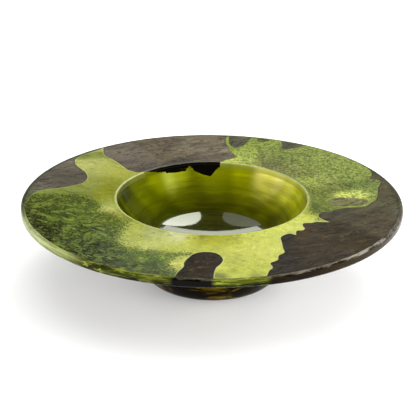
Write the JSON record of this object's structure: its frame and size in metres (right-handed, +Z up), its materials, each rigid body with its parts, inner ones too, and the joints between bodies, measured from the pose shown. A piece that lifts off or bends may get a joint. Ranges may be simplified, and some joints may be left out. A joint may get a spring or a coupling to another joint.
{
  "type": "art glass bowl",
  "caption": "Wide-brimmed art glass bowl: a shallow dished well in a thick cased wall, with pieces of lime, green and dark glass inlaid flush in a flat brim.",
  "frame": {"origin": "on the table under the centre of the foot", "axes": "+Z up through the well's axis, -Y towards the front, +X to the right"},
  "size_m": [0.4, 0.4, 0.09],
  "materials": {
    "foot_disc": "thick dark glass, fire-polished side, ground matt on its resting ring",
    "bowl_base": "thick olive glass, enclosed",
    "bowl_wall": "thick olive glass, enclosed",
    "bowl_casing": "near-black glossy glass with faint amber streaks",
    "amber_streak_front": "amber-olive glossy glass streak",
    "amber_streak_right": "olive glossy glass streak",
    "well_lining": "glossy olive-green glass with fine turning streaks",
    "well_floor": "glossy dark olive glass",
    "spill_tongue": "glossy black-brown glass",
    "spill_left": "glossy black-brown glass",
    "lip_bead": "glossy pale lime glass bead, slightly rippled",
    "lip_dark": "glossy dark glass bead",
    "brim_core": "olive glass, enclosed",
    "brim_casing": "near-black glossy glass",
    "lime_front": "glossy lime glass, clouded and faintly crackled",
    "lime_rear_left": "glossy lime glass shading to olive at the lip",
    "lime_halo": "glossy pale lime glass",
    "frit_left": "dark green frit speckled over lime, glossy",
    "frit_rear": "mid-green crackled frit, satin to glossy",
    "pale_patch": "pale lime glass, glossy",
    "dark_rear": "dark brown-grey glass, satin, finely wrinkled",
    "dark_left": "dark brown-grey glass, satin, finely wrinkled",
    "dark_front": "dark brown-grey glass, satin",
    "dark_right": "dark brown-grey glass, satin, wrinkled, with warm wisps",
    "cell_round": "dark olive glass cell with a thin lime outline",
    "cell_small": "grey-green glass cell with a thin lime outline",
    "cell_wedge": "dark olive glass cell with a thin lime outline",
    "lens_right": "brown-olive glass lens with a pale outline",
    "edge_lime": "glossy lime glass, rounded",
    "edge_veined": "dark green glass with lime veins, rounded",
    "edge_dark_front": "dark glass, rounded",
    "edge_striped": "dark green and lime striped glass, rounded",
    "edge_brown": "brown glass with silvery glints, rounded",
    "edge_grey_right": "brown-grey glass, rounded",
    "edge_green_rear": "mid-green glass, rounded",
    "edge_dark_rear": "brown-grey glass, rounded",
    "edge_dark_left": "brown-grey glass, rounded"
  },
  "bodies": {
    "root": {"foot_disc": "foot_disc", "bowl_base": "bowl_base", "bowl_wall": "bowl_wall", "bowl_casing": "bowl_casing", "amber_streak_front": "amber_streak_front", "amber_streak_right": "amber_streak_right", "well_lining": "well_lining", "well_floor": "well_floor", "spill_tongue": "spill_tongue", "spill_left": "spill_left", "lip_bead": "lip_bead", "lip_dark": "lip_dark", "brim_core": "brim_core", "brim_casing": "brim_casing", "lime_front": "lime_front", "lime_rear_left": "lime_rear_left", "lime_halo": "lime_halo", "frit_left": "frit_left", "frit_rear": "frit_rear", "pale_patch": "pale_patch", "dark_rear": "dark_rear", "dark_left": "dark_left", "dark_front": "dark_front", "dark_right": "dark_right", "cell_round": "cell_round", "cell_small": "cell_small", "cell_wedge": "cell_wedge", "lens_right": "lens_right", "edge_lime": "edge_lime", "edge_veined": "edge_veined", "edge_dark_front": "edge_dark_front", "edge_striped": "edge_striped", "edge_brown": "edge_brown", "edge_grey_right": "edge_grey_right", "edge_green_rear": "edge_green_rear", "edge_dark_rear": "edge_dark_rear", "edge_dark_left": "edge_dark_left"}
  },
  "joints": []
}
